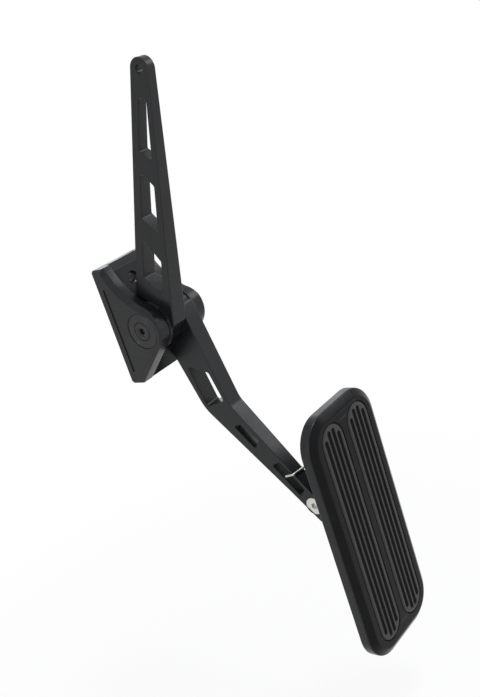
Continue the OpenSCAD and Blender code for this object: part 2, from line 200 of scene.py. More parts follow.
# Pad
PAD_W = 71.1
PAD_L = 171.45
PAD_T = 9.5
PAD_EDGE = 6.35
PAD_BEVEL = 5.0
PAD_R = 20.5
PAD_GAP = 18.3
PAD_UP = 64.2
PAD_RIGHT = 0.35
BACK_RIM = [(0.9, 0.0), (0.7, 0.0)]
BACK_ROUND = 0.6
EDGE_LAND = 1.0
EDGE_ROUND = 1.2
BEVEL_ROUND = 2.2
BORDER_LAND = 1.6
POCKET_MOUTH = [(-0.4 - SUPPORT, 0), (-0.4, 0), (-0.15, 0.1), (-0.02, 0.35), (0, 0.5)]
BORDER_TURN = -0.75  # faces turned further to the front than this keep the darker finish: painted shade

# Inserts: profiles are (inset, depth) pairs
INSERT_W = 23.6
INSERT_L = 155.0
INSERT_SIDE = INSERT_W / 2 + 2.4
INSERT_UP = 1.0
INSERT_PROUD = 0.4
INSERT_SINK = 2.0
INSERT_SHOULDER = [(0, 1.3), (0, 1.0), (0.45, 0.85), (0.95, 0.48), (1.45, 0.13), (1.95, 0),
                   (2.3, 0)]
RIB_GAP = 4.5
RIB_CUT = 3.6
RIB_CUTS = 4
RIB_REACH = 7.3  # groove ends lie on a circle, clear of the shoulder's inner ring
RIB_VALLEY = [(-0.1, 0), (0, 0), (0.15, 0.05), (0.35, 0.25), (0.62, 0.7), (0.95, 1.1),
              (1.3, 1.25), (1.6, 1.28)]
VALLEY_FROM = 0.45  # faces deeper than this, and turned to the front by this, get the darker rubber: painted shade
VALLEY_TURN = -0.3

# Lug and spring
LUG_T = 9.0
COIL_L = 4.0
TOE_FACE = LOWER_X + (ARM_T - TOE_T) / 2
LUG_X = TOE_FACE + TOE_T + COIL_L
PAD_X = LUG_X + LUG_T / 2 + PAD_RIGHT
WIRE_D = 1.6
WIRE_SIDES = 14
WIRE_END = [(0.0, 0.72), (0.22, 0.94), (0.5, 1.0)]
PATH_STEP = 3.6
COIL_R = 6.0
COIL_TURN = 720
COIL_STEPS = 100
COIL_GAPS = (0.05, 0.1)  # from the toe to the first turn, and from the last turn to the lug
HOOK_BEND = 1.6
WIRE_SHARP = 50.0
LEG_OVERLAP = 7
LEG_SHARE = 0.98  # thinner than the coil, so that the two do not lie in one surface
HOOK = (-64.4, -111.0)
HOOK_X = TOE_FACE + TOE_T + 1.6
GRIP_X = -0.04
GRIP = [(HOOK[0] + 8.2, HOOK[1] - 1.2), (HOOK[0] + 1.4, HOOK[1] + 0.6)]
SPRING_END = (TOE[0] + 5 - PAD_GAP + WIRE_D * 0.6 + 0.3, TOE[1] + 16)

# Stage
LENS = 48.03
SENSOR_W = 36.0
CLIP = (0.01, 50.0)
CAMERA_AT = (-0.3800, -0.4523, 0.1427)
CAMERA_RIGHT = (0.5943, -0.7449, -0.3033)
CAMERA_UP = (0.4285, -0.0258, 0.9032)
FLOOR_DROP = 0.06
FLOOR_HALF = 12.0
FLOOR_GREY = (0.9, 0.9, 0.9, 1.0)
FLOOR_ROUGH = 0.9
NEAR_WHITE = 0.78
NEAR, FAR = 0.15, 0.55
WORLD_LIGHT = 0.45
WHITE = (1.0, 1.0, 1.0, 1.0)
COOL = (0.93, 0.96, 1.0)
# Name, place, aim, size in metres and power in watts
LAMPS = [
    ("lamp_top", (0.15, -0.6, 1.4), (0, -0.1, -0.05), 0.3, 9.0),
    ("lamp_left", (-1.4, -0.1, 0.35), (0, -0.05, -0.05), 0.9, 4.0),
    ("lamp_key", (1.09, -0.88, 0.77), (0, -0.05, -0.05), 0.6, 5.0),
    ("lamp_low", (0.7, -1.4, -0.02), (0, -0.05, -0.1), 0.7, 1.2),
    ("lamp_back", (1.2, 1.15, 0.5), (0, -0.05, -0.02), 0.7, 2.5),
]


# Flat outlines

def polar(angle, r=1.0, centre=(0.0, 0.0)):
    return (centre[0] + r * cos(radians(angle)), centre[1] + r * sin(radians(angle)))


def arc(centre, r, start, end, step):
    """Points of an arc, both ends included."""
    n = max(2, ceil(abs(end - start) / step))
    return [polar(start + (end - start) * i / n, r, centre) for i in range(n + 1)]


def corner_circle(a, b, c, r):
    """Circle that rounds corner b of the path a, b, c: centre, arm to its start, and turn."""
    a, b, c = Vector(a), Vector(b), Vector(c)
    u, w = (a - b).normalized(), (c - b).normalized()
    half = acos(max(-1.0, min(1.0, u.dot(w)))) / 2
    centre = b + (u + w).normalized() * r / sin(half)
    start, end = b + u * r / tan(half) - centre, b + w * r / tan(half) - centre
    turn = pi - 2 * half
    if start.x * end.y - start.y * end.x < 0:
        turn = -turn
    return centre, start, turn


def rounded(points, radii, step=8.0):
    """Closed outline with each corner rounded by its own radius; 0 keeps the point."""
    out = []
    for i, (b, r) in enumerate(zip(points, radii)):
        if r <= 0:
            out.append(tuple(b))
            continue
        centre, start, turn = corner_circle(points[i - 1], b, points[(i + 1) % len(points)], r)
        first = degrees(atan2(start.y, start.x))
        out += arc(centre, r, first, first + degrees(turn), step)
    return out


def circle(centre, r, n=72):
    return [polar(360 * i / n, r, centre) for i in range(n)]


def stadium(w, l, centre, n):
    """Long in the second direction, with n steps round each end."""
    half = (l - w) / 2
    out = []
    for first, up in ((0, half), (180, -half)):
        middle = (centre[0], centre[1] + up)
        out += [polar(first + 180 * i / n, w / 2, middle) for i in range(n + 1)]
    return out


def rounded_box(w, l, r, n=20):
    out = []
    for i, (sx, sy) in enumerate([(1, 1), (-1, 1), (-1, -1), (1, -1)]):
        c = (sx * (w / 2 - r), sy * (l / 2 - r))
        out += [polar(90 * i + 90 * k / n, r, c) for k in range(n + 1)]
    return out


def inset(loop, d):
    """Outline moved inwards by d, or by each point's own distance; anticlockwise loops only."""
    n = len(loop)
    far = d if isinstance(d, list) else [d] * n
    out = []
    for i, (x, y) in enumerate(loop):
        px, py = loop[i - 1]
        qx, qy = loop[(i + 1) % n]
        a = Vector((x - px, y - py)).normalized()
        b = Vector((qx - x, qy - y)).normalized()
        na, nb = Vector((-a.y, a.x)), Vector((-b.y, b.x))
        m = (na + nb) / max(0.2, 1 + na.dot(nb))
        out.append((x + m.x * far[i], y + m.y * far[i]))
    return out


def anticlockwise(loop):
    area = sum(loop[i - 1][0] * p[1] - p[0] * loop[i - 1][1] for i, p in enumerate(loop)) / 2
    return loop if area > 0 else loop[::-1]


def between(p, q, share):
    return (p[0] + (q[0] - p[0]) * share, p[1] + (q[1] - p[1]) * share)


def leaves_disc(p, q, r):
    """Point where the line from p, inside the disc, to q, outside it, crosses its rim."""
    low, high = 0.0, 1.0
    for _ in range(40):
        mid = (low + high) / 2
        if hypot(*between(p, q, mid)) > r:
            high = mid
        else:
            low = mid
    return between(p, q, high)


def straightened(loop, tolerance=1e-4, shortest=1e-3):
    """Drops points that lie on a straight run."""
    out = []
    for i, p in enumerate(loop):
        a, c = loop[i - 1], loop[(i + 1) % len(loop)]
        cross = (p[0] - a[0]) * (c[1] - p[1]) - (p[1] - a[1]) * (c[0] - p[0])
        if hypot(p[0] - a[0], p[1] - a[1]) > shortest and abs(cross) > tolerance:
            out.append(p)
    return out


def with_hub(loop, r):
    """Outline of a disc at the origin joined with a loop that leaves it."""
    dense = []
    for i, p in enumerate(loop):
        q = loop[i - 1]
        n = max(1, ceil(hypot(p[0] - q[0], p[1] - q[1])))
        dense += [between(q, p, k / n) for k in range(n)]
    outside = [hypot(*p) > r * HUB_CLEAR for p in dense]
    n = len(dense)
    best = []
    for i in range(n):
        if outside[i] and not outside[i - 1]:
            run = []
            k = i
            while outside[k % n] and len(run) < n:
                run.append(dense[k % n])
                k += 1
            if len(run) > len(best):
                best, first, last = run, (i - 1) % n, k % n
    enter = leaves_disc(dense[first], best[0], r)
    leave = leaves_disc(dense[last], best[-1], r)
    start, end = degrees(atan2(leave[1], leave[0])), degrees(atan2(enter[1], enter[0]))
    while end <= start:
        end += 360
    return straightened(best + arc((0, 0), r, start, end, HUB_STEP))


# Solids from stacks of loops: each stack is a list of (loop, height) pairs

def sunk(loop, top, profile):
    """Stack from a profile of (inset, depth under the top) pairs."""
    return [(inset(loop, d) if d else loop, top - deep) for d, deep in profile]


def edged(loop, low, high, r, way=1):
    """Wall from low to high whose two edges are rounded; way -1 is the wall of a hole."""
    turns = [radians(90 * i / EDGE_STEPS) for i in range(EDGE_STEPS + 1)]
    rim = inset(loop, way * (r + SUPPORT))
    rise = [(inset(loop, way * r * (1 - sin(a))), r * (1 - cos(a))) for a in turns]
    stack = [(rim, low)] + [(line, low + h) for line, h in rise]
    if high - low > 2 * (r + SUPPORT):
        stack += [(loop, low + r + SUPPORT), (loop, high - r - SUPPORT)]
    return stack + [(line, high - h) for line, h in rise[::-1]] + [(rim, high)]


def side(u, v, h):
    """Side view to frame: u is towards the wall, v is up and h is to the right."""
    return Vector((h, u - PIVOT_OUT, v - PIVOT_DROP)) * MM


def on_pad(u, v, h):
    """Pad's own view to frame: u is right, v is up and h is the height over the pad's back."""
    z = TOE[1] + PAD_UP - PAD_L / 2 - PIVOT_DROP
    return Vector((PAD_X + u, TOE[0] - PAD_GAP - PIVOT_OUT - h, z + v)) * MM


def wall(bm, rings):
    """Quads between each ring of vertices and the next."""
    for low, high in zip(rings, rings[1:]):
        for i in range(len(low)):
            j = (i + 1) % len(low)
            bm.faces.new((low[i], low[j], high[j], high[i]))


def sew(bm, stack, place):
    rings = [[bm.verts.new(place(u, v, h)) for u, v in loop] for loop, h in stack]
    wall(bm, rings)
    return rings


def ring_edges(bm, ring):
    pairs = zip(ring, ring[1:] + ring[:1])
    return [bm.edges.get(pair) or bm.edges.new(pair) for pair in pairs]


def fill(bm, rings):
    edges = [e for ring in rings for e in ring_edges(bm, ring)]
    bmesh.ops.triangle_fill(bm, use_beauty=True, use_dissolve=False, edges=edges)


def solid(outer, holes=(), pockets=(), place=side, cut=(), bend=None):
    """Closed mesh from an outer stack, through holes and pockets sunk from the top."""
    bm = bmesh.new()
    rings = sew(bm, outer, place)
    low, high = [rings[0]], [rings[-1]]
    for stack in holes:
        made = sew(bm, stack, place)
        low.append(made[0])
        high.append(made[-1])
    for stack in pockets:
        made = sew(bm, stack, place)
        high.append(made[0])
        fill(bm, [made[-1]])
    fill(bm, low)
    fill(bm, high)
    for point, normal in cut:
        bmesh.ops.bisect_plane(bm, geom=bm.verts[:] + bm.edges[:] + bm.faces[:],
                               plane_co=point, plane_no=normal)
    if bend:
        for v in bm.verts:
            v.co = bend(v.co)
    bmesh.ops.recalc_face_normals(bm, faces=bm.faces)
    return bm


def prism(loop, low, high):
    return solid([(loop, low), (loop, high)])


def mesh_from(name, bm):
    mesh = bpy.data.meshes.new(name)
    bm.to_mesh(mesh)
    bm.free()
    return mesh


def linked(name, data):
    obj = bpy.data.objects.new(name, data)
    bpy.context.scene.collection.objects.link(obj)
    return obj


def dress(obj, body, material, replaced=(), sharp=35.0):
    """Material and shading for a piece, the body it rides on and the CAD nodes it stands for."""
    obj.data.materials.clear()
    obj.data.materials.append(material)
    obj.data.polygons.foreach_set("use_smooth", [True] * len(obj.data.polygons))
    obj.data.set_sharp_from_angle(angle=radians(sharp))
    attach(obj, body)
    if replaced:
        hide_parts(*replaced)


def piece(name, bm, body, material, replaced=(), sharp=35.0):
    obj = linked(name, mesh_from(name, bm))
    dress(obj, body, material, replaced, sharp)
    return obj


def tool(bm):
    return linked("tool", mesh_from("tool", bm))


def joined(target, others, operation):
    """Boolean with each of the others, which are then removed."""
    for other in others:
        m = target.modifiers.new("join", "BOOLEAN")
        m.operation = operation
        m.solver = "EXACT"
        m.object = other
        bpy.context.view_layer.update()
        depsgraph = bpy.context.evaluated_depsgraph_get()
        mesh = bpy.data.meshes.new_from_object(target.evaluated_get(depsgraph))
        target.modifiers.clear()
        target.data = mesh
        bpy.data.objects.remove(other, do_unlink=True)
    return target


# Materials

def new_material(name):
    m = bpy.data.materials.new(name)
    m.use_nodes = True
    tree = m.node_tree
    shader = next(n for n in tree.nodes if n.type == "BSDF_PRINCIPLED")
    return m, tree, shader


def noise(tree, coords, scale, detail, rough=0.6, stretch=None):
    node = tree.nodes.new("ShaderNodeTexNoise")
    node.inputs["Scale"].default_value = scale
    node.inputs["Detail"].default_value = detail
    node.inputs["Roughness"].default_value = rough
    source = coords
    if stretch:
        mapping = tree.nodes.new("ShaderNodeMapping")
        mapping.inputs["Scale"].default_value = stretch
        tree.links.new(coords, mapping.inputs["Vector"])
        source = mapping.outputs["Vector"]
    tree.links.new(source, node.inputs["Vector"])
    return node.outputs["Fac"]


def ramp(tree, source, stops):
    """Colour between two stops, each (position, colour)."""
    node = tree.nodes.new("ShaderNodeValToRGB")
    for element, (at, colour) in zip(node.color_ramp.elements, stops):
        element.position = at
        element.color = (*colour, 1.0)
    tree.links.new(source, node.inputs["Fac"])
    return node.outputs["Color"]


def spread(tree, source, low, high, start=0.3, end=0.7):
    """Value that goes from low to high as the source goes from start to end."""
    node = tree.nodes.new("ShaderNodeMapRange")
    node.inputs["From Min"].default_value = start
    node.inputs["From Max"].default_value = end
    node.inputs["To Min"].default_value = low
    node.inputs["To Max"].default_value = high
    tree.links.new(source, node.inputs["Value"])
    return node.outputs["Result"]


def combined(tree, operation, a, b):
    node = tree.nodes.new("ShaderNodeMath")
    node.operation = operation
    tree.links.new(a, node.inputs[0])
    tree.links.new(b, node.inputs[1])
    return node.outputs["Value"]


def mixed(tree, factor, a, b):
    """Colour mix; factor is a number or a socket, and b a colour or a socket."""
    node = tree.nodes.new("ShaderNodeMix")
    node.data_type = "RGBA"
    if isinstance(factor, float):
        node.inputs["Factor"].default_value = factor
    else:
        tree.links.new(factor, node.inputs["Factor"])
    tree.links.new(a, node.inputs["A"])
    if isinstance(b, tuple):
        node.inputs["B"].default_value = (*b, 1.0)
    else:
        tree.links.new(b, node.inputs["B"])
    return node.outputs["Result"]


CLOUD_SCALE = 45.0
WEAR_SCALE = 120.0
WEAR_SHARE = 0.5
WEAR_FROM = (0.42, 0.62)
CONVEX = (0.52, 0.62)  # pointiness from a flat face to a worn edge
SPECK_DARK, SPECK_LIGHT = 0.82, 1.2
ROUGH_SPREAD = (-0.05, 0.06)
BUMP_HEIGHT = 0.0001


def finish_like(name, dark, light, rough, specular, grain, bump, wear, metallic=0.0,
                brushed=None):
    """Fine grained finish: colour that varies a little, worn edges, own roughness and bump."""
    m, tree, shader = new_material(name)
    coords = tree.nodes.new("ShaderNodeTexCoord").outputs["Object"]
    cloud = noise(tree, coords, CLOUD_SCALE, 3.0)
    fine = noise(tree, coords, grain, 3.0, 0.7, brushed)
    base = ramp(tree, cloud, [(0.35, dark), (0.68, light)])
    speck = ramp(tree, fine, [(0.3, tuple(SPECK_DARK * c for c in dark)),
                              (0.75, tuple(SPECK_LIGHT * c for c in light))])
    grained = mixed(tree, 0.5, base, speck)
    geometry = tree.nodes.new("ShaderNodeNewGeometry")
    edges = spread(tree, geometry.outputs["Pointiness"], 0.0, 1.0, *CONVEX)
    patches = spread(tree, noise(tree, coords, WEAR_SCALE, 4.0), 0.0, WEAR_SHARE,
                     *WEAR_FROM)
    worn = combined(tree, "MULTIPLY", edges, patches)
    tree.links.new(mixed(tree, worn, grained, wear), shader.inputs["Base Color"])
    roughness = spread(tree, cloud, *[rough + step for step in ROUGH_SPREAD])
    tree.links.new(roughness, shader.inputs["Roughness"])
    shader.inputs["Specular IOR Level"].default_value = specular
    shader.inputs["Metallic"].default_value = metallic
    bumps = tree.nodes.new("ShaderNodeBump")
    bumps.inputs["Strength"].default_value = bump
    bumps.inputs["Distance"].default_value = BUMP_HEIGHT
    tree.links.new(fine, bumps.inputs["Height"])
    tree.links.new(bumps.outputs["Normal"], shader.inputs["Normal"])
    return m


anodised = finish_like(
    "anodised_black", (0.008, 0.0085, 0.010), (0.014, 0.0145, 0.016), 0.28, 0.25,
    grain=2600.0, bump=0.2, wear=(0.06, 0.06, 0.065))
# A darker, less glossy copy of the anodised finish for the pad's front faces: painted shade
anodised_front_shade = finish_like(
    "anodised_black_front_shade", (0.004, 0.004, 0.0045), (0.007, 0.007, 0.0078), 0.26, 0.10,
    grain=2600.0, bump=0.15, wear=(0.04, 0.04, 0.042))
cap_black = finish_like(
    "turned_black", (0.010, 0.0105, 0.012), (0.017, 0.017, 0.019), 0.24, 0.30,
    grain=2600.0, bump=0.2, wear=(0.08, 0.08, 0.085))
screw_black = finish_like(
    "oxide_black", (0.010, 0.010, 0.011), (0.018, 0.018, 0.020), 0.36, 0.28,
    grain=3200.0, bump=0.3, wear=(0.1, 0.1, 0.1))
rubber = finish_like(
    "ribbed_rubber", (0.020, 0.020, 0.021), (0.032, 0.032, 0.034), 0.40, 0.30,
    grain=4200.0, bump=0.5, wear=(0.05, 0.05, 0.05))
# A darker, duller copy of the rubber for the grooves' deep faces: painted shade in the recesses
rubber_groove_shade = finish_like(
    "rubber_groove_shade", (0.004, 0.004, 0.004), (0.008, 0.008, 0.008), 0.6, 0.12,
    grain=4200.0, bump=0.5, wear=(0.02, 0.02, 0.02))
steel = finish_like(
    "ground_steel", (0.42, 0.42, 0.43), (0.52, 0.52, 0.53), 0.30, 0.5,
    grain=2400.0, bump=0.2, wear=(0.6, 0.6, 0.6), metallic=1.0, brushed=(1.0, 0.05, 0.05))
bright = finish_like(
    "bright_steel", (0.52, 0.52, 0.50), (0.64, 0.64, 0.61), 0.34, 0.5,
    grain=1800.0, bump=0.2, wear=(0.7, 0.7, 0.68), metallic=1.0)
wire_steel = finish_like(
    "spring_steel", (0.42, 0.42, 0.39), (0.54, 0.54, 0.50), 0.3, 0.5,
    grain=1800.0, bump=0.2, wear=(0.7, 0.7, 0.68), metallic=1.0)
washer_grey = finish_like(
    "washer_plastic", (0.010, 0.010, 0.010), (0.018, 0.018, 0.018), 0.5, 0.25,
    grain=2400.0, bump=0.3, wear=(0.1, 0.1, 0.1))
bronze = finish_like(
    "bush_bronze", (0.35, 0.22, 0.09), (0.47, 0.31, 0.14), 0.38, 0.5,
    grain=2400.0, bump=0.4, wear=(0.6, 0.42, 0.2), metallic=1.0)


# Bracket

def cheek_line():
    """Cheek's outline, with the width and the fall of its sloped border at each point."""
    base_top = Vector((PIVOT_OUT - BASE_T, TOP_Z))
    out = BOSS_R + SADDLE_R
    run = (out * out - SADDLE_R ** 2 + base_top.length_squared) / (2 * base_top.length)
    rise = (out * out - run * run) ** 0.5
    along = base_top.normalized()
    centre = along * run + Vector((-along.y, along.x)) * rise
    start = degrees(atan2(base_top.y - centre.y, base_top.x - centre.x))
    end = degrees(atan2(-centre.y, -centre.x))
    top_turn = degrees(atan2(centre.y, centre.x))
    lean = radians(NOSE_LEAN)
    nose = (-sin(lean) * BOSS_R, -cos(lean) * BOSS_R)
    low_out = nose[0] + (nose[1] - LOW_Z) / tan(lean)
    saddle = arc(centre, SADDLE_R, start, end, SADDLE_STEP)[:-1]
    boss = arc((0, 0), BOSS_R, top_turn, 270 - NOSE_LEAN, HUB_STEP)
    base = [(PIVOT_OUT - CORNER, LOW_Z), (PIVOT_OUT, LOW_Z + CORNER),
            (PIVOT_OUT, TOP_Z - CORNER), (PIVOT_OUT - CORNER, TOP_Z)]
    points = [(low_out, LOW_Z)] + base + saddle + boss
    widths = [NOSE_BAND] + BASE_BANDS + BAND_GROWS
    widths += [SADDLE_BAND] * (len(saddle) - len(BAND_GROWS))
    falls = [NOSE_FALL] + [BASE_FALL] * len(base) + [SADDLE_FALL] * len(saddle)
    for i in range(len(boss) - 1):
        # The border narrows over the first third of the boss
        share = min(1.0, 3 * i / len(boss))
        widths.append(SADDLE_BAND + (BOSS_BAND - SADDLE_BAND) * share)
        falls.append(SADDLE_FALL + (BOSS_FALL - SADDLE_FALL) * share)
    return points, widths + [NOSE_BAND], falls + [NOSE_FALL]


def cheek(x_out, x_in):
    """Cheek from its outer face at x_out to its inner face at x_in."""
    line, widths, falls = cheek_line()
    way = 1 if x_in > x_out else -1
    deep = [d * w for d, w in zip(falls, widths)]
    levels = [
        ([w + SUPPORT for w in widths], x_out),
        (widths, x_out),
        (FIT, [x_out + way * (BRINK + d) for d in deep]),
        (0, [x_out + way * (BREAK + d) for d in deep]),
        (0, x_in - way * (BREAK + SUPPORT)),
        (0, x_in - way * BREAK),
        (BREAK * BREAK_ARC, x_in - way * BREAK * BREAK_ARC),
        (BREAK, x_in),
        (BREAK + SUPPORT, x_in),
    ]
    bm = bmesh.new()
    rings = []
    for far, x in levels:
        loop = inset(line, far) if far else line
        heights = x if isinstance(x, list) else [x] * len(loop)
        rings.append([bm.verts.new(side(p[0], p[1], h)) for p, h in zip(loop, heights)])
    wall(bm, rings)
    fill(bm, [rings[0]])
    fill(bm, [rings[-1]])
    bmesh.ops.recalc_face_normals(bm, faces=bm.faces)
    return bm


def web(inside):
    """Plate on the wall between the cheeks, with a sloped top."""
    front = PIVOT_OUT - WEB_T
    back, low, top = PIVOT_OUT - FIT, LOW_Z + FIT, TOP_Z - FIT
    outline = rounded(
        [(front, low), (PIVOT_OUT - CORNER, low), (back, LOW_Z + CORNER), (back, TOP_Z - CORNER),
         (PIVOT_OUT - CORNER, top), (front + SLOPE, top), (front, TOP_Z - SLOPE)],
        WEB_R)
    return prism(outline, -inside - WEB_LAP, inside + WEB_LAP)


def cap_seat(s, half):
    """Cutter for the round seat of the cap on side s, with a broken edge."""
    seat = circle((0, 0), CAP_D / 2 + CAP_FIT, 96)
    lip = circle((0, 0), CAP_D / 2 + CAP_FIT + SEAT_EDGE + CUT_PAST, 96)
    deep = half - CAP_SINK - CAP_T
    return solid([(seat, s * deep), (seat, s * (half - SEAT_EDGE)), (lip, s * (half + CUT_PAST))])


def mounting_hole(z):
    """Cutter for the screw hole at height z, chamfered on both sides."""
    wide = circle((0, 0), HOLE_D / 2 + HOLE_CHAMFER + CUT_PAST)
    bore = circle((0, 0), HOLE_D / 2)
    stack = [(wide, -CUT_PAST), (bore, HOLE_CHAMFER), (bore, WEB_T - HOLE_CHAMFER),
             (wide, WEB_T + CUT_PAST)]
    return solid(stack, place=lambda u, v, h: Vector((u, -h, v + z)) * MM)


def cheek_groove(s, half):
    """Cutter for the shallow groove along the cheek on side s."""
    middle = (PIVOT_OUT - GROOVE_INSET, (GROOVE_TOP + GROOVE_LOW) / 2)
    line = stadium(GROOVE_W, GROOVE_TOP - GROOVE_LOW, middle, 10)
    floor = half - GROOVE_DEEP
    return solid([(inset(line, GROOVE_FLANK), s * floor), (line, s * (floor + GROOVE_RISE)),
                  (line, s * (half + CUT_PAST))])


def make_bracket():
    half = BRACKET_W / 2
    inside = half - CHEEK_T
    parts = [tool(bm) for bm in (cheek(-half, -inside), cheek(half, inside), web(inside))]
    body = joined(parts[0], parts[1:], "UNION")
    bore = circle((0, 0), SHAFT_D / 2 + FIT)
    cuts = [tool(prism(bore, -half - CUT_PAST, half + CUT_PAST))]
    for s in (-1, 1):
        cuts += [tool(cap_seat(s, half)), tool(mounting_hole(s * HOLE_GAP / 2)),
                 tool(cheek_groove(s, half))]
    body = joined(body, cuts, "DIFFERENCE")
    body.name = "bracket"
    body.data.name = "bracket"
    dress(body, "bracket", anodised, ["mount_bracket"], BRACKET_SHARP)


make_bracket()


# Caps and screws in the cheeks

def outwards(x, s):
    """Side view whose heights run from the plane x out to side s."""
    return lambda u, v, h: side(u, v, x + s * h)


def cap_disc(place):
    well = circle((0, 0), HEAD_D / 2 + HEAD_FIT)
    hole = circle((0, 0), SCREW_D / 2 + SCREW_FIT)
    mouth = [(hole, 0), (hole, SEAT_T), (well, SEAT_T)]
    mouth += sunk(well, CAP_T, CAP_MOUTH)
    outer = edged(circle((0, 0), CAP_D / 2, 96), 0, CAP_T, CAP_EDGE)
    return solid(outer, holes=[mouth], place=place)


def hexagon(across, n=72):
    """Six sided outline with as many points as the circle round it."""
    flat = across / 2 * cos(radians(30))
    turns = [360 / n * k for k in range(n)]
    return [polar(a, flat / cos(radians((a + 30) % 60 - 30))) for a in turns]


def socket_screw(place):
    head = circle((0, 0), HEAD_D / 2)
    outer = [(inset(head, HEAD_FOOT), 0), (head, HEAD_FOOT)] + sunk(head, HEAD_T, HEAD_CROWN)
    ring = circle((0, 0), SOCKET_D / 2 + SOCKET_RIM_W)
    dish = sunk(ring, HEAD_T, SOCKET_RIM)
    dish += sunk(hexagon(SOCKET_D), HEAD_T - SOCKET_MOUTH,
                 [(0, 0), (0, SOCKET_T), (SOCKET_END[0], SOCKET_T + SOCKET_END[1])])
    bm = solid(outer, pockets=[dish], place=place)
    shank = circle((0, 0), SCREW_D / 2, 48)
    stack = [(inset(shank, BOLT_TIP), -BOLT_L), (shank, -BOLT_L + BOLT_TIP), (shank, BOLT_LAP)]
    stem = mesh_from("stem", solid(stack, place=place))
    bm.from_mesh(stem)
    bpy.data.meshes.remove(stem)
    return bm


def make_pivot_ends():
    for s, name in ((-1, "left"), (1, "right")):
        face = s * (BRACKET_W / 2 - CAP_SINK)
        disc = cap_disc(outwards(face - s * CAP_T, s))
        piece("cap_disc_" + name, disc, "bracket", cap_black, ["cap_" + name])
        screw = socket_screw(outwards(face - s * (CAP_T - SEAT_T), s))
        piece("pivot_screw_" + name, screw, "bracket", screw_black,
              ["pivot_screws"])


make_pivot_ends()


# Arms

def tapered(centre, z0, t0, z1, t1):
    """Thickness goes evenly from t0 at z0 to t1 at z1, and stays so beyond."""
    def bend(co):
        z = co.z / MM + PIVOT_DROP
        share = max(0.0, min(1.0, (z - z0) / (z1 - z0)))
        t = t0 + (t1 - t0) * share
        return Vector((centre * MM + (co.x - centre * MM) * t / t0, co.y, co.z))
    return bend


def level(z):
    """Cutting plane across the arm, where its taper starts or ends."""
    return (Vector((0, 0, (z - PIVOT_DROP) * MM)), Vector((0, 0, 1)))


def arm_holes(quads, low, high):
    lines = [anticlockwise(rounded(q, [WINDOW_R] * 4, 12.0)) for q in quads]
    lines.append(circle((0, 0), BUSH_D / 2 + FIT))
    return [edged(line, low, high, WINDOW_EDGE, -1) for line in lines]


def make_upper_arm():
    tip = arc(EYE, TIP_R, BACK_LEAN, 180 + FRONT_LEAN, 6.0)
    line = tip + UPPER_FOOT + [polar(BACK_LEAN, HUB_R)]
    radii = [0] * len(tip) + UPPER_FOOT_R + [0]
    outline = with_hub(anticlockwise(rounded(line, radii, 6.0)), HUB_R)
    low, high = UPPER_X, UPPER_X + ARM_T
    holes = arm_holes(UPPER_WINDOWS, low, high)
    holes.append(edged(circle(EYE, EYE_D / 2, 40), low, high, ARM_EDGE, -1))
    end = EYE[1] + TIP_R + TIP_PAST
    bm = solid(edged(outline, low, high, ARM_EDGE), holes, cut=[level(TAPER_LOW)],
               bend=tapered((low + high) / 2, TAPER_LOW, ARM_T, end, TIP_T))
    piece("arm_upper", bm, "arms", anodised, ["upper_arm"])


def make_lower_arm():
    outline = with_hub(anticlockwise(rounded(LOWER_LINE, LOWER_LINE_R, 5.0)), LOWER_HUB_R)
    low, high = LOWER_X, LOWER_X + ARM_T
    centre = (low + high) / 2

    def untapered(depth):
        """Height that the taper brings to this depth under the toe's left face."""
        return centre + (TOE_FACE + depth - centre) * ARM_T / TOE_T

    head = circle(TOE, TOE_HEAD_D / 2 + TOE_HEAD_FIT, 60)
    neck = circle(TOE, PAD_SCREW_D / 2 + TOE_NECK_FIT, 60)
    toe_hole = [
        (inset(head, -TOE_MOUTH - SUPPORT), low), (inset(head, -TOE_MOUTH), low),
        (head, untapered(TOE_MOUTH)), (neck, untapered(CONE_FROM + CONE_T)),
        (neck, high - WINDOW_EDGE), (inset(neck, -WINDOW_EDGE), high),
        (inset(neck, -WINDOW_EDGE - SUPPORT), high),
    ]
    toe_top = TOE[1] + TOE_LAND
    bm = solid(edged(outline, low, high, ARM_EDGE),
               arm_holes(LOWER_WINDOWS, low, high) + [toe_hole],
               cut=[level(KNEE_Z), level(toe_top)],
               bend=tapered(centre, KNEE_Z, ARM_T, toe_top, TOE_T))
    piece("arm_lower", bm, "arms", anodised, ["lower_arm"])


make_upper_arm()
make_lower_arm()


# Pad and inserts

def pad_ring(d):
    """Pad outline d inside its edge."""
    return rounded_box(PAD_W - 2 * d, PAD_L - 2 * d, PAD_R - d)


def blend_corner(a, b, c, r, n):
    """Profile points that round corner b of the path a, b, c, each point (inset, height)."""
    centre, start, turn = corner_circle(a, b, c, r)
    turns = [turn * i / n for i in range(n + 1)]
    return [(centre.x + start.x * cos(k) - start.y * sin(k),
             centre.y + start.x * sin(k) + start.y * cos(k)) for k in turns]


def second_material(obj, material, chosen):
    """Material for the faces that the test chooses."""
    obj.data.materials.append(material)
    for face in obj.data.polygons:
        if chosen(face):
            face.material_index = 1


